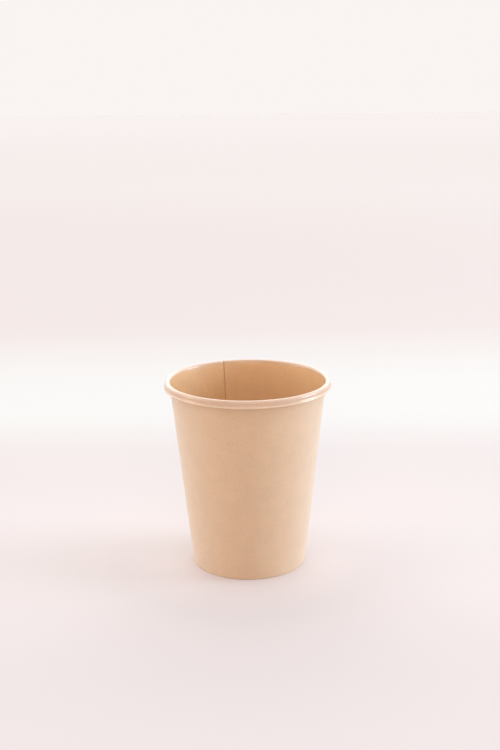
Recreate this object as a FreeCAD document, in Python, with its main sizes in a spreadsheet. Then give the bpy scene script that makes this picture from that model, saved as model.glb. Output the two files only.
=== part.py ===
import FreeCAD, Part
import math
import os
import Sketcher

# A single-wall paper coffee cup of the 240 ml size, made of two pieces of board.
# side_wall is one sheet rolled into a cone and lapped on itself along a seam. Its top edge is
# rolled outward into the rim, and its bottom edge is folded inward and up into the hem.
# bottom_disc is a shallow tray of board. Its skirt is clamped between the wall and the hem.
# The cup stands on z = 0 with its axis on z. Sizes are in millimetres and degrees.

SIZES = (
    ("cup_height", 92.4, "standing plane to the top of the rim"),
    ("rim_radius", 40.0, "outside of the rolled rim"),
    ("base_radius", 27.95, "outside of the wall at the fold that the cup stands on"),
    ("board", 0.33, "thickness of the side wall's board"),
    ("floor_board", 0.3, "thickness of the bottom disc's board"),
    ("curl_bend", 0.28, "inside radius of the rim's lower bend where the board is lapped"),
    ("curl_side", 1.2, "straight outer side of the rim"),
    ("tuck_gap", 0.06, "clearance between the lapped wall and the tucked edge of the rim"),
    ("tuck_side", 0.3, "straight stretch of the tucked edge beside the wall"),
    ("tuck_bend", 0.12, "inside radius of the tucked edge where the board is lapped"),
    ("tuck_turn", 80.0, "angle that the tucked edge turns over inside the rim"),
    ("fold_bend", 0.05, "inside radius of the pressed fold at the base"),
    ("floor_height", 6.4, "standing plane to the top of the floor, one step of the stack"),
    ("floor_bend", 0.3, "inside radius of the bend between floor and skirt"),
    ("hem_clearance", 1.2, "top of the hem to the underside of the floor"),
    ("skirt_clearance", 0.1, "edge of the skirt to the lapped fold below it"),
    ("seam_azimuth", 108.7, "direction of the cut edge that shows inside the cup"),
    ("lap_angle", 13.0, "angle over which the sheet laps itself"),
    ("ramp_angle", 3.5, "angle over which the outer ply comes down beside the lap"),
)

# Values worked out from the sizes, as expressions
WORKED = (
    ("roll_radius", "Float", "Sizes.curl_bend + 3 * Sizes.board + Sizes.tuck_gap / 2"),
    ("curl_radius", "Float", "Sizes.curl_bend + 2 * Sizes.board"),
    ("tuck_radius", "Float", "Sizes.tuck_bend + 2 * Sizes.board"),
    ("roll_x", "Float", "Sizes.rim_radius - roll_radius"),
    ("roll_z", "Float", "Sizes.cup_height - roll_radius"),
    ("rise", "Float", "roll_z - Sizes.board - Sizes.fold_bend"),
    ("run", "Float", "roll_x - Sizes.base_radius + Sizes.board + Sizes.fold_bend"),
    ("reach", "Float", "sqrt(run * run + rise * rise)"),
    ("taper", "Angle", "atan(run / rise) - asin((Sizes.fold_bend + roll_radius) / reach)"),
    ("hem_height", "Float", "Sizes.floor_height - Sizes.floor_board - Sizes.hem_clearance"),
    ("skirt_foot", "Float", "2 * Sizes.board + Sizes.fold_bend + Sizes.skirt_clearance"),
)

# A sketch's constraints refer to the points of a line or an arc by number
WHOLE, START, END, CENTRE = range(4)
ORIGIN = (-1, START)


def add_sizes(doc):
    """Write the driving sizes into a spreadsheet, one named cell for each."""
    sheet = doc.addObject("Spreadsheet::Sheet", "Sizes")
    for row, (alias, value, note) in enumerate(SIZES, start=1):
        sheet.set(f"A{row}", alias)
        sheet.set(f"B{row}", str(value))
        sheet.set(f"C{row}", note)
        sheet.setAlias(f"B{row}", alias)
    return sheet


def add_worked(doc):
    """Keep the values that follow from the sizes in one set of variables."""
    worked = doc.addObject("App::VarSet", "Worked")
    for name, kind, expression in WORKED:
        worked.addProperty(f"App::Property{kind}", name, "Worked")
        worked.setExpression(name, expression)
    return worked


def origin_plane(body, role):
    """Find one of the body's own origin planes by its role."""
    return next(item for item in body.Origin.OriginFeatures if item.Role == role)


def radial_sketch(body, name, azimuth):
    """Add a sketch on the plane through the axis at an azimuth: x is the radius, y the height."""
    sketch = body.newObject("Sketcher::SketchObject", name)
    sketch.AttachmentSupport = [(origin_plane(body, "XZ_Plane"), "")]
    sketch.MapMode = "FlatFace"
    sketch.AttachmentOffset = FreeCAD.Placement(
        FreeCAD.Vector(), FreeCAD.Rotation(FreeCAD.Vector(0, 1, 0), 0)
    )
    sketch.setExpression("AttachmentOffset.Rotation.Angle", azimuth)
    return sketch


def arc(centre, radius, start_angle, end_angle):
    """Give a counter-clockwise arc in the sketch's plane."""
    circle = Part.Circle(centre, FreeCAD.Vector(0, 0, 1), radius)
    return Part.ArcOfCircle(circle, start_angle, end_angle)


def constrain(sketch, expression, kind, *items):
    """Add a driving constraint and bind it to an expression."""
    index = sketch.addConstraint(Sketcher.Constraint(kind, *items))
    sketch.setExpression(f"Constraints[{index}]", expression)


def draw_board_face(sketch, sizes, worked, plies_in, plies_below):
    """Draw one face of the sheet from the top of its hem to the tucked edge in the rim.

    plies_in counts the thicknesses of board between this face and the face inside the cup.
    plies_below counts the thicknesses of board between the inside of the fold and the table.
    Returns the line that starts at the hem's edge and the arc that starts at the tucked edge.
    """
    offset = plies_in * sizes.board
    taper = math.radians(worked.taper.Value)
    up = FreeCAD.Vector(math.sin(taper), math.cos(taper), 0)
    out = FreeCAD.Vector(math.cos(taper), -math.sin(taper), 0)
    down = FreeCAD.Vector(0, -1, 0)

    # Radii and centres of the bends, from the pressed fold to the tuck
    fold_radius = sizes.fold_bend + offset
    roll_radius = worked.roll_radius - offset
    curl_radius = worked.curl_radius - offset
    tuck_radius = worked.tuck_radius - offset
    roll = FreeCAD.Vector(worked.roll_x, worked.roll_z, 0)
    fold_z = plies_below * sizes.board + sizes.fold_bend
    fold_span = sizes.fold_bend + worked.roll_radius + (worked.roll_z - fold_z) * up.x
    outer_fold = FreeCAD.Vector(worked.roll_x - fold_span / up.y, fold_z, 0)
    flat = (sizes.floor_board - 2 * sizes.fold_bend) / up.y
    inner_fold = outer_fold - FreeCAD.Vector(flat, 0, 0)
    curl = roll + out * (worked.roll_radius - worked.curl_radius) - up * sizes.curl_side
    tuck = curl - out * (worked.curl_radius - worked.tuck_radius) + up * sizes.tuck_side

    hem_foot = inner_fold - out * fold_radius
    hem_top = hem_foot + up * ((worked.hem_height + offset * up.x - hem_foot.y) / up.y)
    out_angle = -taper
    in_angle = math.pi - taper
    turn = math.radians(sizes.tuck_turn)

    hem, fold_in, ring, fold_out, wall, top, side, bottom, beside, tucked = sketch.addGeometry(
        [
            Part.LineSegment(hem_top, hem_foot),
            arc(inner_fold, fold_radius, in_angle, 1.5 * math.pi),
            Part.LineSegment(inner_fold + down * fold_radius, outer_fold + down * fold_radius),
            arc(outer_fold, fold_radius, -0.5 * math.pi, out_angle),
            Part.LineSegment(outer_fold + out * fold_radius, roll - out * roll_radius),
            arc(roll, roll_radius, out_angle, in_angle),
            Part.LineSegment(roll + out * roll_radius, curl + out * curl_radius),
            arc(curl, curl_radius, in_angle, out_angle + 2 * math.pi),
            Part.LineSegment(curl - out * curl_radius, tuck - out * tuck_radius),
            arc(tuck, tuck_radius, in_angle - turn, in_angle),
        ]
    )

    # Each line runs tangent into the next bend
    for one, one_end, two, two_end in (
        (hem, END, fold_in, START),
        (fold_in, END, ring, START),
        (ring, END, fold_out, START),
        (fold_out, END, wall, START),
        (wall, END, top, END),
        (top, START, side, START),
        (side, END, bottom, END),
        (bottom, START, beside, START),
        (beside, END, tucked, END),
    ):
        sketch.addConstraint(Sketcher.Constraint("Tangent", one, one_end, two, two_end))
    for parallel in (hem, side, beside):
        sketch.addConstraint(Sketcher.Constraint("Parallel", wall, parallel))
    sketch.addConstraint(Sketcher.Constraint("Horizontal", ring))

    inward = f"{plies_in} * Sizes.board"
    constrain(sketch, f"Sizes.fold_bend + {inward}", "Radius", fold_in, fold_radius)
    constrain(sketch, f"Sizes.fold_bend + {inward}", "Radius", fold_out, fold_radius)
    constrain(sketch, f"Worked.roll_radius - {inward}", "Radius", top, roll_radius)
    constrain(sketch, f"Worked.curl_radius - {inward}", "Radius", bottom, curl_radius)
    constrain(sketch, f"Worked.tuck_radius - {inward}", "Radius", tucked, tuck_radius)
    constrain(sketch, "Worked.roll_x", "DistanceX", *ORIGIN, top, CENTRE, roll.x)
    constrain(sketch, "Worked.roll_z", "DistanceY", *ORIGIN, top, CENTRE, roll.y)
    constrain(
        sketch,
        f"{plies_below} * Sizes.board + Sizes.fold_bend",
        "DistanceY", *ORIGIN, fold_out, CENTRE, fold_z,
    )
    constrain(sketch, "90 deg - Worked.taper", "Angle", wall, 0.5 * math.pi - taper)
    constrain(
        sketch,
        f"Sizes.floor_board - Sizes.fold_bend + {inward}",
        "Distance", fold_in, CENTRE, wall, sizes.floor_board - sizes.fold_bend + offset,
    )
    constrain(sketch, "Sizes.curl_side", "Distance", side, sizes.curl_side)
    constrain(sketch, "Sizes.tuck_side", "Distance", beside, sizes.tuck_side)
    constrain(sketch, "Sizes.tuck_turn", "Angle", tucked, turn)
    constrain(
        sketch,
        f"Worked.hem_height + {inward} * sin(Worked.taper)",
        "DistanceY", *ORIGIN, hem, START, hem_top.y,
    )
    return hem, tucked


def board_section(body, name, sizes, worked, azimuth, plies, plies_below):
    """Draw the closed section of the sheet between two of its faces.

    plies holds the count of board thicknesses from the inside of the cup to each face.
    """
    sketch = radial_sketch(body, name, azimuth)
    ends = [draw_board_face(sketch, sizes, worked, count, plies_below) for count in plies]
    for one, two in zip(*ends):
        start = sketch.Geometry[one].StartPoint
        end = sketch.Geometry[two].StartPoint
        edge = sketch.addGeometry(Part.LineSegment(start, end))
        sketch.addConstraint(Sketcher.Constraint("Coincident", edge, START, one, START))
        sketch.addConstraint(Sketcher.Constraint("Coincident", edge, END, two, START))
    return sketch


def revolve(body, name, sketch, angle):
    """Turn a section about the cup's axis."""
    feature = body.newObject("PartDesign::Revolution", name)
    feature.Profile = sketch
    feature.ReferenceAxis = (sketch, ["V_Axis"])
    feature.setExpression("Angle", angle)
    feature.Refine = False
    return feature


def side_wall(doc, sizes, worked):
    """Roll the sheet: hem, fold, cone and rim, with the lap seam from hem to rim."""
    body = doc.addObject("PartDesign::Body", "side_wall")
    body.Label = "side_wall"

    # One ply runs from the foot of the ramp round to the lap
    single = board_section(
        body, "SinglePly", sizes, worked,
        "Sizes.seam_azimuth + Sizes.ramp_angle", (0, 1), 1,
    )
    revolve(body, "Sheet", single, "360 - Sizes.lap_angle - Sizes.ramp_angle")

    # Two plies lie face to face over the lap
    double = board_section(
        body, "LappedPlies", sizes, worked,
        "Sizes.seam_azimuth - Sizes.lap_angle", (0, 2), 2,
    )
    revolve(body, "Lap", double, "Sizes.lap_angle")

    # The outer ply passes the cut edge of the inner one and comes down to the single ply
    outer = board_section(body, "OuterPly", sizes, worked, "Sizes.seam_azimuth", (1, 2), 2)
    ramp = body.newObject("PartDesign::AdditiveLoft", "Ramp")
    ramp.Profile = outer
    ramp.Sections = [single]
    ramp.Ruled = True
    ramp.Refine = False
    body.Tip = ramp
    return body


def draw_tray_section(sketch, sizes, worked):
    """Draw half the section of the bottom disc: floor, bend and skirt, closed at the axis."""
    taper = math.radians(worked.taper.Value)
    up = FreeCAD.Vector(math.sin(taper), math.cos(taper), 0)
    out = FreeCAD.Vector(math.cos(taper), -math.sin(taper), 0)
    roll = FreeCAD.Vector(worked.roll_x, worked.roll_z, 0)

    # The skirt's outside lies on the inside of the wall
    board = sizes.floor_board
    bend = sizes.floor_bend
    on_wall = roll - out * worked.roll_radius
    foot_out = on_wall - up * ((on_wall.y - worked.skirt_foot) / up.y)
    foot_in = foot_out - out * board
    bend_z = sizes.floor_height - board - bend
    centre = foot_out - out * (board + bend)
    centre = centre + up * ((bend_z - centre.y) / up.y)
    top_z = sizes.floor_height
    top_centre = FreeCAD.Vector(0, top_z, 0)
    top_edge = FreeCAD.Vector(centre.x, top_z, 0)
    under_centre = FreeCAD.Vector(0, top_z - board, 0)
    under_edge = FreeCAD.Vector(centre.x, top_z - board, 0)

    floor, bend_out, skirt_out, foot, skirt_in, bend_in, underside, axis = sketch.addGeometry(
        [
            Part.LineSegment(top_centre, top_edge),
            arc(centre, board + bend, -taper, 0.5 * math.pi),
            Part.LineSegment(centre + out * (board + bend), foot_out),
            Part.LineSegment(foot_out, foot_in),
            Part.LineSegment(foot_in, centre + out * bend),
            arc(centre, bend, -taper, 0.5 * math.pi),
            Part.LineSegment(under_edge, under_centre),
            Part.LineSegment(under_centre, top_centre),
        ]
    )
    roll_point = sketch.addGeometry(Part.Point(roll), True)

    for one, one_end, two, two_end in (
        (floor, END, bend_out, END),
        (bend_out, START, skirt_out, START),
        (skirt_in, END, bend_in, START),
        (bend_in, END, underside, START),
    ):
        sketch.addConstraint(Sketcher.Constraint("Tangent", one, one_end, two, two_end))
    for one, two in (
        (skirt_out, foot),
        (foot, skirt_in),
        (underside, axis),
        (axis, floor),
    ):
        sketch.addConstraint(Sketcher.Constraint("Coincident", one, END, two, START))
    sketch.addConstraint(Sketcher.Constraint("Coincident", bend_out, CENTRE, bend_in, CENTRE))
    sketch.addConstraint(Sketcher.Constraint("Horizontal", floor))
    sketch.addConstraint(Sketcher.Constraint("Horizontal", underside))
    sketch.addConstraint(Sketcher.Constraint("Vertical", axis))
    sketch.addConstraint(Sketcher.Constraint("Vertical", *ORIGIN, axis, START))
    sketch.addConstraint(Sketcher.Constraint("Perpendicular", skirt_out, foot))
    sketch.addConstraint(Sketcher.Constraint("Parallel", skirt_out, skirt_in))

    constrain(sketch, "Sizes.floor_bend", "Radius", bend_in, bend)
    constrain(sketch, "Sizes.floor_bend + Sizes.floor_board", "Radius", bend_out, board + bend)
    constrain(sketch, "Sizes.floor_height", "DistanceY", *ORIGIN, floor, START, top_z)
    constrain(
        sketch, "Worked.skirt_foot", "DistanceY", *ORIGIN, skirt_out, END, worked.skirt_foot
    )
    constrain(sketch, "Worked.roll_x", "DistanceX", *ORIGIN, roll_point, START, roll.x)
    constrain(sketch, "Worked.roll_z", "DistanceY", *ORIGIN, roll_point, START, roll.y)
    constrain(
        sketch, "Worked.roll_radius",
        "Distance", roll_point, START, skirt_out, worked.roll_radius,
    )
    constrain(sketch, "-90 deg - Worked.taper", "Angle", skirt_out, -0.5 * math.pi - taper)


def bottom_disc(doc, sizes, worked):
    """Draw the round of board into a tray: a flat floor with its skirt turned down."""
    body = doc.addObject("PartDesign::Body", "bottom_disc")
    body.Label = "bottom_disc"
    sketch = radial_sketch(body, "TraySection", "Sizes.seam_azimuth")
    draw_tray_section(sketch, sizes, worked)
    body.Tip = revolve(body, "Tray", sketch, "360")
    return body


def check(doc, bodies):
    """Stop if an object failed or a piece isn't one sound solid."""
    for item in doc.Objects:
        if "Invalid" in item.State or "Error" in item.State:
            raise RuntimeError(f"{item.Name} failed: {item.State}")
    for body in bodies:
        shape = body.Shape
        if shape.isNull() or not shape.isValid() or len(shape.Solids) != 1:
            raise RuntimeError(f"{body.Label} is not one valid solid")


def main():
    """Build the cup and write each piece."""
    doc = FreeCAD.newDocument("PaperCup")
    sizes = add_sizes(doc)
    doc.recompute()
    worked = add_worked(doc)
    doc.recompute()

    bodies = [side_wall(doc, sizes, worked), bottom_disc(doc, sizes, worked)]
    for body in bodies:
        body.Placement = FreeCAD.Placement()
    doc.recompute()
    check(doc, bodies)

    os.makedirs("parts", exist_ok=True)
    for body in bodies:
        body.Shape.exportStep(f"parts/{body.Label}.step")
        print(body.Label, round(body.Shape.Volume, 1), "cubic mm")


main()
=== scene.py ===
"""Looks of a paper coffee cup: a rolled side wall of kraft board and a pressed bottom disc."""

import logging
import math
from collections.abc import Callable
from dataclasses import dataclass
from enum import Enum, IntEnum
from functools import reduce
from itertools import pairwise

import bmesh
import bpy
from bmesh.types import BMesh, BMLayerItem, BMVert
from bpy.types import Material, NodeOutputs, NodeSocket, Object, ShaderNode, World
from mathutils import Matrix, Vector


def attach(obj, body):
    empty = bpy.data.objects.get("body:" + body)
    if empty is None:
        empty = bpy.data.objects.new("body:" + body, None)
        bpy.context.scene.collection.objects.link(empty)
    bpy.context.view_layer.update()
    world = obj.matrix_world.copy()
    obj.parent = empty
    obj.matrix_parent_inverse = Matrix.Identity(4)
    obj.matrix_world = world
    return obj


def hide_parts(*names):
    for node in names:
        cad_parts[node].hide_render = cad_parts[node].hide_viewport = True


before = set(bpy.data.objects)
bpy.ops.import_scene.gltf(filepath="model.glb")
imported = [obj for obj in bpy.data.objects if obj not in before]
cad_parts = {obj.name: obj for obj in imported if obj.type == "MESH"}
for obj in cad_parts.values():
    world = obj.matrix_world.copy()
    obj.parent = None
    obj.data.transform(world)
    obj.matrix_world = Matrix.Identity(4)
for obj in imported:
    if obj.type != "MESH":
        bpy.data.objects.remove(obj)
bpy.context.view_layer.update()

MM = 0.001
BODY = "root"
AXIS = Vector((0.0, 0.0, 1.0))
CENTRE = Vector((0.0, 0.0, 0.0))
FULL_TURN = 2 * math.pi
HALF_TURN = math.pi
QUARTER_TURN = 0.5 * math.pi

RISING = (0.0, 1.0)
FALLING = (1.0, 0.0)
NOISE_SPAN = (0.25, 0.75)
NOISE_ROUGHNESS = 0.6

Colour = tuple[float, float, float]
Span = tuple[float, float]

log = logging.getLogger("paper_cup")


class Face(IntEnum):
    """The faces of a sheet of board, as the places of their materials."""

    INSIDE = 0
    OUTSIDE = 1
    CUT_EDGE = 2


class Turn(Enum):
    """The way a section's line bends, seen with the radius to the right and the height up."""

    LEFT = 1
    RIGHT = -1


# Materials


class ShaderGraph:
    """The nodes of a material or a room, added one by one and wired together."""

    def __init__(self, owner: Material | World) -> None:
        """Start with no nodes.

        Args:
            owner: the material or world that takes them.
        """
        owner.use_nodes = True
        self.owner = owner
        self.tree = owner.node_tree
        self.tree.nodes.clear()

    @classmethod
    def painted(cls, name: str) -> "ShaderGraph":
        """Start the nodes of a new material."""
        return cls(bpy.data.materials.new(name))

    def add(self, kind: str, **inputs: object) -> ShaderNode:
        """Add a node.

        Args:
            kind: the node's type, without its "ShaderNode" prefix.
            inputs: input values by name, with underscores for spaces.

        Returns:
            The new node.
        """
        node = self.tree.nodes.new("ShaderNode" + kind)
        for name, value in inputs.items():
            node.inputs[name.replace("_", " ")].default_value = value
        return node

    def link(self, source: NodeSocket, target: NodeSocket) -> None:
        """Wire one socket to another."""
        self.tree.links.new(source, target)

    def feed(self, source: NodeSocket | Vector | float, target: NodeSocket) -> None:
        """Wire a socket to another, or set it to a value.

        Args:
            source: the socket or the value.
            target: the socket that takes it.
        """
        if isinstance(source, NodeSocket):
            self.link(source, target)
        else:
            target.default_value = source

    def axes(self, place: NodeSocket) -> NodeOutputs:
        """Split coordinates into X, Y and Z.

        Args:
            place: the coordinates.

        Returns:
            The sockets of the three, by name.
        """
        node = self.add("SeparateXYZ")
        self.link(place, node.inputs["Vector"])
        return node.outputs

    def flat(self) -> NodeSocket:
        """Give the board's own flat coordinates, in metres.

        Returns:
            The coordinates.
        """
        node = self.add("UVMap")
        node.uv_map = "flat"
        return node.outputs["UV"]

    def place(self) -> NodeSocket:
        """Give the place in the object's frame, in metres."""
        return self.add("TexCoord").outputs["Object"]

    def length(self, place: NodeSocket) -> NodeSocket:
        """Give the distance of coordinates from their origin.

        Args:
            place: the coordinates.

        Returns:
            The distance.
        """
        node = self.add("VectorMath")
        node.operation = "LENGTH"
        self.link(place, node.inputs[0])
        return node.outputs["Value"]

    def noise(self, place: NodeSocket, scale: float, detail: float) -> NodeSocket:
        """Add a noise pattern.

        Args:
            place: the coordinates that it reads.
            scale: repeats per unit of the coordinates.
            detail: octaves.

        Returns:
            The pattern's value, from 0 to 1.
        """
        node = self.add("TexNoise", Scale=scale, Detail=detail, Roughness=NOISE_ROUGHNESS)
        self.link(place, node.inputs["Vector"])
        return node.outputs["Fac"]

    def stretched(
        self, place: NodeSocket, angle: float, scale: tuple[float, float, float]
    ) -> NodeSocket:
        """Turn and stretch coordinates.

        Args:
            place: the coordinates that it reads.
            angle: turn about the third axis, in degrees.
            scale: stretch along each axis.

        Returns:
            The new coordinates.
        """
        turn = self.add("Mapping", Rotation=(0.0, 0.0, math.radians(angle)))
        self.link(place, turn.inputs["Vector"])
        stretch = self.add("Mapping", Scale=scale)
        self.link(turn.outputs["Vector"], stretch.inputs["Vector"])
        return stretch.outputs["Vector"]

    def spread(self, value: NodeSocket, start: Span, result: Span) -> NodeSocket:
        """Map one range of a value smoothly to another, held at the ends.

        Args:
            value: the value that it reads.
            start: lower and upper end of the range that it reads.
            result: what they become.

        Returns:
            The mapped value.
        """
        node = self.add("MapRange")
        node.interpolation_type = "SMOOTHSTEP"
        for name, number in zip(("From Min", "From Max", "To Min", "To Max"), start + result):
            node.inputs[name].default_value = number
        self.link(value, node.inputs["Value"])
        return node.outputs["Result"]

    def join(self, how: str, one: NodeSocket, two: NodeSocket | float) -> NodeSocket:
        """Combine two values.

        Args:
            how: the sum, such as "ADD" or "MULTIPLY".
            one: first value.
            two: second value, or a number.

        Returns:
            The result.
        """
        node = self.add("Math")
        node.operation = how
        self.link(one, node.inputs[0])
        self.feed(two, node.inputs[1])
        return node.outputs["Value"]

    def tinted(self, colour: NodeSocket | Vector, tone: NodeSocket) -> NodeSocket:
        """Darken and lighten a colour.

        Args:
            colour: the colour, in linear red, green and blue.
            tone: what it is multiplied by at each point.

        Returns:
            The varied colour.
        """
        node = self.add("VectorMath")
        node.operation = "SCALE"
        self.feed(colour, node.inputs[0])
        self.link(tone, node.inputs["Scale"])
        return node.outputs["Vector"]

    def faded(self, colour: NodeSocket | Vector, change: Vector, share: NodeSocket) -> NodeSocket:
        """Fade a colour towards another.

        Args:
            colour: the first colour, in linear red, green and blue.
            change: the second colour less the first.
            share: how far it has faded at each point.

        Returns:
            The faded colour.
        """
        node = self.add("VectorMath")
        node.operation = "MULTIPLY_ADD"
        self.link(share, node.inputs[0])
        node.inputs[1].default_value = change
        self.feed(colour, node.inputs[2])
        return node.outputs["Vector"]

    def relief(self, height: NodeSocket, depth: float) -> NodeSocket:
        """Turn a pattern into small relief.

        Args:
            height: the pattern, from 0 to 1.
            depth: its height in metres.

        Returns:
            The normal for a shader.
        """
        node = self.add("Bump", Strength=1.0, Distance=depth)
        self.link(height, node.inputs["Height"])
        return node.outputs["Normal"]

    def finish(self, shader: ShaderNode) -> Material:
        """Wire the shader to the output.

        Args:
            shader: the shader node.

        Returns:
            The material.
        """
        self.link(shader.outputs[0], self.add("OutputMaterial").inputs["Surface"])
        return self.owner


@dataclass(frozen=True)
class KraftFinish:
    """Unbleached kraft board: cloudy pulp, crossing fibres and a few bark specks."""

    name: str
    colour: Colour
    roughness: float
    roughness_swing: float = 0.05
    coat: float = 0.0
    coat_roughness: float = 0.2
    sheen: float = 0.0
    sheen_roughness: float = 0.6
    cloud: float = 0.03
    cloud_span: Span = (0.9, 1.1)
    broad_clouds: float = 130.0
    close_clouds: float = 800.0
    fibre: float = 0.045
    fibre_scale: tuple[float, float, float] = (900.0, 8000.0, 1.0)
    fibre_angles: tuple[float, ...] = (8.0, 67.0, -41.0)
    speck: float = 0.5
    speck_scale: float = 330.0
    speck_span: Span = (0.03, 0.09)
    speck_share: Span = (0.9, 1.0)
    depth: float = 0.02 * MM
    knurl_height: float = 0.0
    knurl_pitch: float = 0.9 * MM
    knurl_end: float = 0.2 * MM
    knurl_strength: float = 1.5
    rolled: Colour | None = None
    rolled_span: Span = (95.0 * MM, 97.5 * MM)
    # painted highlight: a lighter band along the foot of the rolled rim, where light catches it
    foot_highlight_rise: Span = (101.5 * MM, 102.15 * MM)
    foot_highlight_fall: Span = (102.15 * MM, 102.8 * MM)
    painted_foot_highlight: Colour = (0.13, 0.13, 0.1)

    def material(self) -> Material:
        """Build the board's material.

        Returns:
            The material.
        """
        graph = ShaderGraph.painted(self.name)
        flat = graph.flat()
        clouds = self.clouds(graph, flat)
        fibres = self.fibres(graph, flat)
        pulp = graph.join("MULTIPLY", clouds, fibres)
        tone = graph.join("MULTIPLY", pulp, self.specks(graph, flat))
        shader = graph.add(
            "BsdfPrincipled",
            Coat_Weight=self.coat,
            Coat_Roughness=self.coat_roughness,
            Sheen_Weight=self.sheen,
            Sheen_Roughness=self.sheen_roughness,
        )
        graph.link(graph.tinted(self.board(graph, flat), tone), shader.inputs["Base Color"])
        duller = self.roughness + self.roughness_swing
        glossier = self.roughness - self.roughness_swing
        gloss = graph.spread(clouds, self.cloud_span, (duller, glossier))
        graph.link(gloss, shader.inputs["Roughness"])
        height = graph.spread(fibres, (1 - self.fibre, 1 + self.fibre), RISING)
        if self.knurl_height:
            height = graph.join("ADD", height, self.knurl(graph, flat))
        graph.link(graph.relief(height, self.depth), shader.inputs["Normal"])
        return graph.finish(shader)

    def board(self, graph: ShaderGraph, flat: NodeSocket) -> NodeSocket | Vector:
        """Give the board's colour: greyer on the rolled rim, with a painted highlight, a lighter
        band, along the rim's foot.

        Args:
            graph: the material's nodes.
            flat: the board's own flat coordinates.

        Returns:
            The colour, in linear red, green and blue.
        """
        if self.rolled is None:
            return Vector(self.colour)
        along = graph.axes(flat)["Y"]
        plain = Vector(self.colour)
        on_roll = graph.spread(along, self.rolled_span, RISING)
        colour = graph.faded(plain, Vector(self.rolled) - plain, on_roll)
        # painted highlight: a lighter band along the rim's foot
        rise = graph.spread(along, self.foot_highlight_rise, RISING)
        fall = graph.spread(along, self.foot_highlight_fall, FALLING)
        on_foot_highlight = graph.join("MULTIPLY", rise, fall)
        return graph.faded(colour, Vector(self.painted_foot_highlight), on_foot_highlight)

    def clouds(self, graph: ShaderGraph, flat: NodeSocket) -> NodeSocket:
        """Pattern the pulp's cloudy thickness, about 1 to 8 mm wide.

        Args:
            graph: the material's nodes.
            flat: the board's own flat coordinates.

        Returns:
            The tone, about 1.
        """
        tones = (1 - self.cloud, 1 + self.cloud)
        broad = graph.noise(flat, self.broad_clouds, detail=2.0)
        close = graph.noise(flat, self.close_clouds, detail=4.0)
        layers = [graph.spread(layer, NOISE_SPAN, tones) for layer in (broad, close)]
        return graph.join("MULTIPLY", *layers)

    def fibres(self, graph: ShaderGraph, flat: NodeSocket) -> NodeSocket:
        """Pattern fine strands that cross at several angles, about 0.1 mm wide.

        Args:
            graph: the material's nodes.
            flat: the board's own flat coordinates.

        Returns:
            The tone, about 1.
        """
        tones = (1 - self.fibre, 1 + self.fibre)
        lines = [graph.stretched(flat, angle, self.fibre_scale) for angle in self.fibre_angles]
        noises = [graph.noise(line, 1.0, detail=2.0) for line in lines]
        strands = [graph.spread(noise, NOISE_SPAN, tones) for noise in noises]
        return reduce(lambda one, two: graph.join("MULTIPLY", one, two), strands)

    def specks(self, graph: ShaderGraph, flat: NodeSocket) -> NodeSocket:
        """Pattern sparse dark bits of bark, about 0.2 mm wide.

        Args:
            graph: the material's nodes.
            flat: the board's own flat coordinates.

        Returns:
            The tone, 1 between the bits.
        """
        cells = graph.add("TexVoronoi", Scale=self.speck_scale)
        graph.link(flat, cells.inputs["Vector"])
        near = graph.spread(cells.outputs["Distance"], self.speck_span, FALLING)
        split = graph.add("SeparateColor")
        graph.link(cells.outputs["Color"], split.inputs["Color"])
        few = graph.spread(split.outputs["Red"], self.speck_share, (0.0, self.speck))
        mark = graph.join("MULTIPLY", near, few)
        return graph.spread(mark, RISING, FALLING)

    def knurl(self, graph: ShaderGraph, flat: NodeSocket) -> NodeSocket:
        """Pattern the fine upright ridges that the press leaves on the hem.

        Args:
            graph: the material's nodes.
            flat: the board's own flat coordinates.

        Returns:
            The ridges' height, as a share of the relief's depth.
        """
        axes = graph.axes(flat)
        round_cup = graph.join("MULTIPLY", axes["X"], FULL_TURN / self.knurl_pitch)
        ridges = graph.join("SINE", round_cup, 0.0)
        top = (self.knurl_height - self.knurl_end, self.knurl_height)
        share = graph.spread(axes["Y"], top, (self.knurl_strength, 0.0))
        return graph.join("MULTIPLY", ridges, share)


@dataclass(frozen=True)
class CutEdgeFinish:
    """The raw cut through the board, where its plies of pulp show as fine layers."""

    name: str = "cut_edge"
    colour: Colour = (0.50, 0.32, 0.19)
    roughness: float = 0.9
    grain_scale: float = 6000.0
    grain_span: Span = (0.3, 0.7)
    grain_tones: Span = (0.85, 1.12)
    depth: float = 0.03 * MM

    def material(self) -> Material:
        """Build the cut edge's material.

        Returns:
            The material.
        """
        graph = ShaderGraph.painted(self.name)
        grain = graph.noise(graph.place(), self.grain_scale, detail=3.0)
        shader = graph.add("BsdfPrincipled", Roughness=self.roughness)
        tone = graph.spread(grain, self.grain_span, self.grain_tones)
        graph.link(graph.tinted(Vector(self.colour), tone), shader.inputs["Base Color"])
        graph.link(graph.relief(grain, self.depth), shader.inputs["Normal"])
        return graph.finish(shader)


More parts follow.
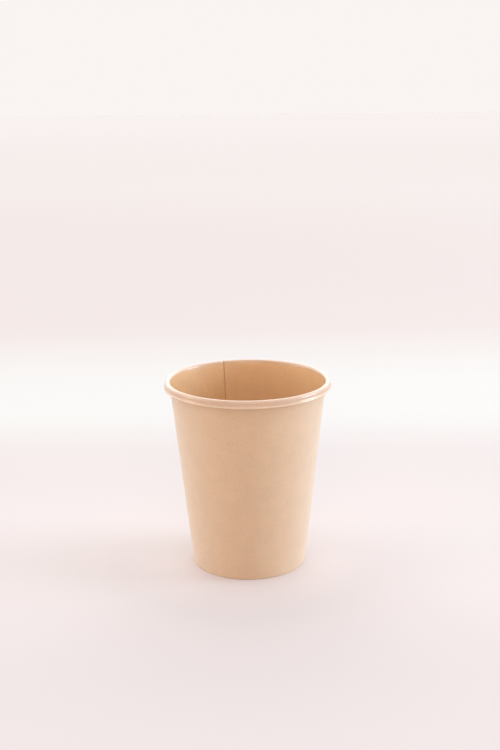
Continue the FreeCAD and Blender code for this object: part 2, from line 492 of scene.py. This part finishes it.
@dataclass(frozen=True)
class StageFinish:
    """Pale card of the studio floor, with painted light and shade in soft bands and a painted
    pool of light before the cup's foot over its shadow.
    """

    name: str = "studio_floor"
    roughness: float = 0.8
    near: Colour = (0.552, 0.501, 0.498)
    # painted light and shade: soft bands of lighter and darker card from the front of the floor
    # to far back
    painted_light_bands: tuple[tuple[float, float, Colour], ...] = (
        (-0.13, -0.03, (0.594, 0.539, 0.535)),
        (0.03, 0.12, (0.57, 0.517, 0.512)),
        (0.15, 0.26, (0.602, 0.588, 0.573)),
        (0.31, 0.57, (0.575, 0.506, 0.492)),
        (0.7, 2.0, (0.629, 0.562, 0.542)),
        (1.4, 5.0, (0.67, 0.607, 0.589)),
    )
    # painted light: a paler round before the cup's foot that lightens the cup's cast shadow
    lift: Colour = (0.1, 0.089, 0.088)
    painted_pool_reach: Span = (0.025, 0.068)
    painted_pool_back: Span = (-0.02, 0.018)

    def material(self) -> Material:
        """Build the floor's material.

        Returns:
            The material.
        """
        graph = ShaderGraph.painted(self.name)
        back = graph.axes(graph.place())["Y"]
        colour, last = Vector(self.near), Vector(self.near)
        # painted light and shade, band by band across the floor
        for start, end, following in self.painted_light_bands:
            share = graph.spread(back, (start, end), RISING)
            colour = graph.faded(colour, Vector(following) - last, share)
            last = Vector(following)
        # painted light: a paler round before the cup's foot, over the cup's shadow
        painted_pool_round = graph.spread(graph.length(graph.place()), self.painted_pool_reach, FALLING)
        painted_pool_ahead = graph.spread(back, self.painted_pool_back, FALLING)
        colour = graph.faded(colour, Vector(self.lift), graph.join("MULTIPLY", painted_pool_round, painted_pool_ahead))
        shader = graph.add("BsdfPrincipled", Roughness=self.roughness)
        graph.link(colour, shader.inputs["Base Color"])
        return graph.finish(shader)


# Sections and sheets


class SectionLine:
    """A line drawn in the plane through the axis, run by run, each tangent to the last."""

    def __init__(self, mesh: BMesh, start: Vector, heading: float) -> None:
        """Start the line.

        Args:
            mesh: the mesh that takes its points.
            start: first point, with the radius as x and the height as z.
            heading: direction from the radius towards the height, in radians.
        """
        self.mesh = mesh
        self.heading = heading
        self.points = [mesh.verts.new(start)]
        self.lengths = [0.0]

    @property
    def forward(self) -> Vector:
        """Direction that the line runs in."""
        return Vector((math.cos(self.heading), 0.0, math.sin(self.heading)))

    def straight(self, length: float, steps: int = 1) -> "SectionLine":
        """Draw a straight run.

        Args:
            length: its length.
            steps: edges in it.

        Returns:
            The line itself.
        """
        for _ in range(steps):
            grown = bmesh.ops.extrude_vert_indiv(self.mesh, verts=[self.points[-1]])
            stride = self.forward * (length / steps)
            bmesh.ops.translate(self.mesh, verts=grown["verts"], vec=stride)
            self.points.append(grown["verts"][0])
            self.lengths.append(self.lengths[-1] + length / steps)
        return self

    def bend(self, radius: float, angle: float, way: Turn, steps: int) -> "SectionLine":
        """Draw a round bend.

        Args:
            radius: its radius.
            angle: how far it turns, in radians.
            way: the side that it turns to.
            steps: edges in it.

        Returns:
            The line itself.
        """
        side = Vector((-math.sin(self.heading), 0.0, math.cos(self.heading))) * way.value
        centre = self.points[-1].co + side * radius
        for _ in range(steps):
            grown = bmesh.ops.spin(
                self.mesh,
                geom=[self.points[-1]],
                cent=centre,
                axis=(0.0, -way.value, 0.0),
                angle=angle / steps,
                steps=1,
            )
            self.points.append(next(v for v in grown["geom_last"] if isinstance(v, BMVert)))
            self.lengths.append(self.lengths[-1] + radius * angle / steps)
        self.heading += way.value * angle
        return self


class BoardSheet:
    """A sheet of board that a section line sweeps out round the cup's axis."""

    def __init__(self, name: str) -> None:
        """Start an empty sheet.

        Args:
            name: the piece's name.
        """
        self.name = name
        self.mesh = bmesh.new()
        self.travel = self.mesh.verts.layers.float.new("travel")
        self.along = self.mesh.verts.layers.float.new("along")

    def line(self, start: Vector, heading: float) -> SectionLine:
        """Start a section line in the sheet's own mesh."""
        return SectionLine(self.mesh, start, heading)

    def thicken(self, thickness: float) -> None:
        """Give the sheet its thickness and tell its faces apart.

        Args:
            thickness: depth of the board behind the faces drawn.
        """
        drawn = set(self.mesh.verts)
        bmesh.ops.solidify(self.mesh, geom=self.mesh.faces[:], thickness=thickness)
        for face in self.mesh.faces:
            shown = sum(vert in drawn for vert in face.verts)
            if shown == len(face.verts):
                face.material_index = Face.INSIDE
            else:
                face.material_index = Face.CUT_EDGE if shown else Face.OUTSIDE
            face.smooth = True
        for edge in self.mesh.edges:
            kinds = {face.material_index for face in edge.link_faces}
            edge.smooth = len(kinds) == 1

    def dress(self, materials: list[Material], flat: Callable[[float, float], Span]) -> Object:
        """Write the mesh with its flat coordinates and materials.

        Args:
            materials: the faces' materials, in the order of Face.
            flat: gives a point's flat coordinates from its travel and its length along.

        Returns:
            The finished object.
        """
        uv = self.mesh.loops.layers.uv.new("flat")
        for face in self.mesh.faces:
            for loop in face.loops:
                loop[uv].uv = flat(loop.vert[self.travel], loop.vert[self.along])
        data = bpy.data.meshes.new(self.name)
        self.mesh.to_mesh(data)
        self.mesh.free()
        for material in materials:
            data.materials.append(material)
        piece = bpy.data.objects.new(self.name, data)
        bpy.context.scene.collection.objects.link(piece)
        return piece


@dataclass(frozen=True)
class CupSizes:
    """Sizes that the side wall and the bottom disc share."""

    height: float = 92.4 * MM
    rim_radius: float = 40.0 * MM
    base_radius: float = 27.95 * MM
    board: float = 0.33 * MM
    floor_board: float = 0.3 * MM
    roll_radius: float = 1.3 * MM
    fold_bend: float = 0.05 * MM

    @property
    def roll(self) -> Vector:
        """Centre of the rim's upper bend."""
        return Vector((self.rim_radius - self.roll_radius, 0.0, self.height - self.roll_radius))

    @property
    def taper(self) -> float:
        """Angle of the wall from upright.

        Returns:
            The angle, in radians.
        """
        rise = self.roll.z - self.board - self.fold_bend
        run = self.roll.x - self.base_radius + self.board + self.fold_bend
        reach = math.hypot(run, rise)
        return math.atan(run / rise) - math.asin((self.fold_bend + self.roll_radius) / reach)

    @property
    def up(self) -> Vector:
        """Direction up the wall in its section."""
        return Vector((math.sin(self.taper), 0.0, math.cos(self.taper)))

    @property
    def out(self) -> Vector:
        """Direction out of the wall in its section."""
        return Vector((math.cos(self.taper), 0.0, -math.sin(self.taper)))


@dataclass
class SideWall:
    """The rolled sheet: hem, pressed fold, cone and rolled rim, lapped along a seam.

    The seam's place, the lap, its ramps and the steps round the cup are in degrees.
    """

    sizes: CupSizes
    hem_height: float = 4.9 * MM
    curl_width: float = 1.88 * MM
    curl_depth: float = 2.14 * MM
    flare_turn: float = math.radians(48.0)
    flare_bend: float = 1.5 * MM
    foot_bend: float = 0.45 * MM
    tuck_start: float = 0.9 * MM
    tuck_radius: float = 0.78 * MM
    tuck_turn: float = math.radians(80.0)
    ply_gap: float = 0.01 * MM
    seam: float = 108.7
    lap: float = 13.0
    ramp: float = 3.5
    step: float = 1.5
    ramp_step: float = 0.5
    hem_steps: int = 8
    wall_steps: int = 36
    roll_steps: int = 16
    foot_steps: int = 10
    bend_steps: int = 6
    mean_radius: float = 34.0 * MM
    inside: KraftFinish = KraftFinish(
        "kraft_inside", (0.695, 0.436, 0.230), 0.45, coat=1.0, rolled=(0.575, 0.388, 0.268)
    )
    outside: KraftFinish = KraftFinish(
        "kraft_outside", (0.604, 0.411, 0.253), 0.5, sheen=0.6, knurl_height=4.4 * MM
    )
    cut_edge: CutEdgeFinish = CutEdgeFinish()

    def build(self) -> Object:
        """Build and dress the side wall.

        Returns:
            The finished piece.
        """
        sheet = BoardSheet("side_wall_board")
        lapped = self.sizes.board + self.ply_gap
        raised = sheet.mesh.verts.layers.float_vector.new("raised")
        outer = sheet.mesh.verts.layers.float_vector.new("outer")
        line = self.section(sheet, 0.0, 0.0)
        under = self.section(sheet, 0.0, lapped)
        over = self.section(sheet, lapped, lapped)
        for here, low, high, length in zip(line.points, under.points, over.points, line.lengths):
            here[raised] = low.co - here.co
            here[outer] = high.co - here.co
            here[sheet.along] = length
        bmesh.ops.delete(sheet.mesh, geom=under.points + over.points, context="VERTS")
        self.sweep(sheet, line)
        self.lap_plies(sheet, raised, outer)
        bmesh.ops.reverse_faces(sheet.mesh, faces=sheet.mesh.faces[:])
        sheet.thicken(self.sizes.board)
        piece = sheet.dress(
            [self.inside.material(), self.outside.material(), self.cut_edge.material()],
            lambda travel, along: (math.radians(travel) * self.mean_radius, along),
        )
        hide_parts("side_wall")
        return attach(piece, BODY)

    def section(self, sheet: BoardSheet, offset: float, lift: float) -> SectionLine:
        """Draw the sheet's inside face from the hem to the tucked edge of the rim.

        Args:
            sheet: the sheet that takes the line.
            offset: how far the face lies behind the inside of the cup.
            lift: how far the fold stands above the single ply's.

        Returns:
            The line.
        """
        cup = self.sizes
        fold_radius = cup.fold_bend + offset
        fold_z = cup.board + lift + cup.fold_bend
        roll_reach = cup.fold_bend + cup.roll_radius + (cup.roll.z - fold_z) * math.sin(cup.taper)
        fold = Vector((cup.roll.x - roll_reach / math.cos(cup.taper), 0.0, fold_z))
        ring = (cup.floor_board - 2 * cup.fold_bend) / math.cos(cup.taper)
        foot = fold - Vector((ring, 0.0, 0.0)) - cup.out * fold_radius
        hem = (self.hem_height + offset * math.sin(cup.taper) - foot.z) / math.cos(cup.taper)
        line = sheet.line(foot + cup.up * hem, -QUARTER_TURN - cup.taper)
        line.straight(hem, self.hem_steps)
        line.bend(fold_radius, QUARTER_TURN + cup.taper, Turn.LEFT, self.bend_steps)
        line.straight(ring)
        line.bend(fold_radius, QUARTER_TURN - cup.taper, Turn.LEFT, self.bend_steps)
        line.straight((cup.roll - fold).dot(cup.up), self.wall_steps)
        line.bend(cup.roll_radius - offset, HALF_TURN, Turn.RIGHT, self.roll_steps)
        self.curl(line, offset)
        tuck_radius = self.tuck_radius - offset
        return line.bend(tuck_radius, self.tuck_turn, Turn.RIGHT, self.bend_steps)

    def curl(self, line: SectionLine, offset: float) -> None:
        """Draw the rim's outer side, flared to its foot, and the way back up to the tuck.

        Args:
            line: the section line, at the foot of the rim's upper bend.
            offset: how far the face lies behind the inside of the cup.
        """
        turn, foot = self.flare_turn, self.foot_bend
        drop = self.flare_bend * math.sin(turn) + foot * (1 + math.sin(turn))
        spread = self.flare_bend * (1 - math.cos(turn)) - foot * math.cos(turn)
        line.straight(self.curl_depth - drop)
        line.bend(self.flare_bend + offset, turn, Turn.LEFT, self.bend_steps)
        line.bend(foot - offset, QUARTER_TURN + turn, Turn.RIGHT, self.foot_steps)
        line.straight(self.curl_width + spread - foot)
        line.bend(foot - offset, QUARTER_TURN, Turn.RIGHT, self.bend_steps)
        line.straight(self.curl_depth - foot - self.tuck_start)

    def sweep(self, sheet: BoardSheet, line: SectionLine) -> None:
        """Carry the section once round and on over the lap, from the inner cut edge.

        Args:
            sheet: the sheet that holds the section.
            line: the section.
        """
        ring = sheet.mesh.verts[:] + sheet.mesh.edges[:]
        turn = Matrix.Rotation(math.radians(self.seam), 3, AXIS)
        bmesh.ops.rotate(sheet.mesh, verts=line.points, cent=CENTRE, matrix=turn)
        for here, further in pairwise(self.stations()):
            turned = bmesh.ops.spin(
                sheet.mesh,
                geom=ring,
                cent=CENTRE,
                axis=-AXIS,
                angle=math.radians(further - here),
                steps=1,
            )
            ring = turned["geom_last"]
            for vert in ring:
                if isinstance(vert, BMVert):
                    vert[sheet.travel] = further

    def stations(self) -> list[float]:
        """Give the angles of the sweep, in degrees, closer together where the lap ramps.

        Returns:
            The angles, from the inner cut edge on.
        """
        marks = [0.0, self.lap, self.lap + self.ramp, 360.0 - self.ramp, 360.0, 360.0 + self.lap]
        steps = [self.step, self.ramp_step, self.step, self.ramp_step, self.step]
        angles = [0.0]
        for (start, end), step in zip(pairwise(marks), steps):
            count = round((end - start) / step)
            angles += [start + (end - start) * (i + 1) / count for i in range(count)]
        return angles

    def lap_plies(self, sheet: BoardSheet, raised: BMLayerItem, outer: BMLayerItem) -> None:
        """Lift the fold over the lap and lay the outer ply behind the inner one.

        Args:
            sheet: the swept sheet.
            raised: layer with each point's shift where its ply lies over another.
            outer: layer with each point's shift where its ply lies under another.
        """
        for vert in sheet.mesh.verts:
            travel = vert[sheet.travel]
            over = smooth_step(self.lap + self.ramp, self.lap, travel)
            under = smooth_step(360.0 - self.ramp, 360.0, travel)
            shift = vert[raised] * over + vert[outer] * under
            vert.co += Matrix.Rotation(math.radians(self.seam - travel), 3, AXIS) @ shift


@dataclass
class BottomDisc:
    """The pressed disc: a flat floor with its skirt turned down between wall and hem."""

    sizes: CupSizes
    floor_height: float = 6.4 * MM
    bend: float = 0.3 * MM
    skirt_foot: float = 0.81 * MM
    dome: float = 0.15 * MM
    fit: float = 0.01 * MM
    steps: int = 240
    floor_steps: int = 24
    bend_steps: int = 8
    skirt_steps: int = 6
    weld: float = 0.001 * MM
    top: KraftFinish = KraftFinish("kraft_floor_top", (0.70, 0.432, 0.229), 0.5, coat=0.4)
    under: KraftFinish = KraftFinish("kraft_floor_under", (0.68, 0.465, 0.295), 0.7, sheen=0.2)
    cut_edge: CutEdgeFinish = CutEdgeFinish("floor_cut_edge")

    def build(self) -> Object:
        """Build and dress the bottom disc.

        Returns:
            The finished piece.
        """
        cup = self.sizes
        sheet = BoardSheet("bottom_disc_board")
        board = cup.floor_board - 2 * self.fit
        radius = self.bend + board
        on_wall = cup.roll - cup.out * (cup.roll_radius + self.fit)
        bend_z = self.floor_height - radius
        centre = on_wall - cup.out * radius
        centre += cup.up * ((bend_z - centre.z) / cup.up.z)
        edge = centre + cup.out * radius
        line = sheet.line(Vector((0.0, 0.0, self.floor_height)), 0.0)
        line.straight(centre.x, self.floor_steps)
        line.bend(radius, QUARTER_TURN + cup.taper, Turn.RIGHT, self.bend_steps)
        line.straight((edge.z - self.skirt_foot) / cup.up.z, self.skirt_steps)
        for point, length in zip(line.points, line.lengths):
            point[sheet.along] = length
            share = min(point.co.x / centre.x, 1.0)
            point.co.z -= self.dome * (1 - share**2) ** 2
        bmesh.ops.spin(
            sheet.mesh,
            geom=sheet.mesh.verts[:] + sheet.mesh.edges[:],
            cent=CENTRE,
            axis=AXIS,
            angle=FULL_TURN,
            steps=self.steps,
            use_merge=True,
        )
        bmesh.ops.remove_doubles(sheet.mesh, verts=sheet.mesh.verts[:], dist=self.weld)
        for vert in sheet.mesh.verts:
            vert[sheet.travel] = math.degrees(math.atan2(vert.co.y, vert.co.x))
        bmesh.ops.recalc_face_normals(sheet.mesh, faces=sheet.mesh.faces[:])
        sheet.thicken(board)
        piece = sheet.dress(
            [self.top.material(), self.under.material(), self.cut_edge.material()],
            lambda travel, along: (
                along * math.cos(math.radians(travel)),
                along * math.sin(math.radians(travel)),
            ),
        )
        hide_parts("bottom_disc")
        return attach(piece, BODY)


@dataclass(frozen=True)
class Softbox:
    """A square soft light that faces the cup."""

    name: str
    place: tuple[float, float, float]
    width: float
    power: float
    colour: Colour

    def hang(self, aim: Vector) -> None:
        """Hang the light.

        Args:
            aim: the point that it faces.
        """
        light = bpy.data.lights.new(self.name, "AREA")
        light.size = self.width
        light.energy = self.power
        light.color = self.colour
        lamp = bpy.data.objects.new(self.name, light)
        lamp.location = self.place
        lamp.rotation_euler = (lamp.location - aim).to_track_quat("Z", "Y").to_euler()
        bpy.context.scene.collection.objects.link(lamp)


@dataclass(frozen=True)
class Studio:
    """The stage: a pale floor, soft lights and the camera at the photograph's angle."""

    floor_half: Vector = Vector((2.0, 4.0, 1.0))
    floor_middle: Vector = Vector((0.0, 2.0, 0.0))
    floor_cells: int = 8
    finish: StageFinish = StageFinish()
    softboxes: tuple[Softbox, ...] = (
        Softbox("high_light", (0.0, -1.4, 1.8), 1.6, 5.5, (0.963, 0.815, 1.0)),
        Softbox("front_light", (0.0, -2.2, 0.7), 1.6, 16.8, (1.0, 0.703, 0.461)),
        Softbox("right_light", (2.2, 0.05, 0.6), 1.0, 31.0, (0.705, 0.87, 1.0)),
        Softbox("left_light", (-2.2, -0.3, 0.6), 1.0, 10.6, (1.0, 0.831, 0.633)),
    )
    aim: Vector = Vector((0.0, 0.0, 0.05))
    focal: float = 1155.05
    image_height: float = 750.0
    sensor: float = 36.0
    nearest: float = 10.0 * MM
    pitch: float = 0.2579
    roll: float = -0.0104
    eye: Vector = Vector((1.1512 * MM, -538.48 * MM, 236.25 * MM))
    horizon: Vector = Vector((0.956, 0.905, 0.887))
    horizon_ends: Span = (0.07, 0.2)
    sky_behind: Vector = Vector((2.526, 2.569, 2.581))

    def build(self) -> None:
        """Build the floor, lights and camera."""
        self.floor()
        for softbox in self.softboxes:
            softbox.hang(self.aim)
        self.camera()
        self.surroundings()

    def floor(self) -> None:
        """Lay the floor that the cup stands on."""
        mesh = bmesh.new()
        spread = Matrix.LocRotScale(self.floor_middle, None, self.floor_half)
        cells = self.floor_cells
        bmesh.ops.create_grid(mesh, x_segments=cells, y_segments=cells, size=1.0, matrix=spread)
        data = bpy.data.meshes.new("studio_floor")
        mesh.to_mesh(data)
        mesh.free()
        data.materials.append(self.finish.material())
        floor = bpy.data.objects.new("studio_floor", data)
        bpy.context.scene.collection.objects.link(floor)

    def camera(self) -> None:
        """Set the camera where the photograph was taken from."""
        lens = bpy.data.cameras.new("photo_camera")
        lens.sensor_width = self.sensor
        lens.lens = self.focal * self.sensor / self.image_height
        lens.clip_start = self.nearest
        camera = bpy.data.objects.new("photo_camera", lens)
        tilt = Matrix.Rotation(QUARTER_TURN - self.pitch, 4, "X")
        lean = Matrix.Rotation(self.roll, 4, "Z")
        camera.matrix_world = Matrix.Translation(self.eye) @ tilt @ lean
        bpy.context.scene.collection.objects.link(camera)
        bpy.context.scene.camera = camera

    def surroundings(self) -> None:
        """Fill the room with pale light, stronger from behind the cup."""
        world = bpy.data.worlds.new("studio_room")
        room = ShaderGraph(world)
        axes = room.axes(room.add("TexCoord").outputs["Generated"])
        behind = room.add("MapRange", From_Min=-1.0, From_Max=1.0)
        room.link(axes["Y"], behind.inputs["Value"])
        sky = room.tinted(self.sky_behind, behind.outputs["Result"])
        rise = room.spread(axes["Z"], self.horizon_ends, RISING)
        fall = room.spread(axes["Z"], self.horizon_ends, FALLING)
        light = room.faded(room.tinted(sky, rise), self.horizon, fall)
        background = room.add("Background")
        room.link(light, background.inputs["Color"])
        room.link(background.outputs[0], room.add("OutputWorld").inputs["Surface"])
        bpy.context.scene.world = world
        bpy.context.scene.view_settings.view_transform = "Standard"


def smooth_step(start: float, end: float, value: float) -> float:
    """Rise smoothly from 0 at one value to 1 at another.

    Args:
        start: value that gives 0.
        end: value that gives 1.
        value: the value asked about.

    Returns:
        The share, held at 0 and 1 outside the two.
    """
    share = min(max((value - start) / (end - start), 0.0), 1.0)
    return share * share * (3 - 2 * share)


def main() -> None:
    """Build the cup and its stage, and report each piece."""
    logging.basicConfig(level=logging.INFO, format="%(message)s")
    sizes = CupSizes()
    for part in (SideWall(sizes), BottomDisc(sizes)):
        piece = part.build()
        log.info("%s: %d faces", piece.name, len(piece.data.polygons))
    Studio().build()
    log.info("studio: floor, lights and camera")


if __name__ == "__main__":
    main()
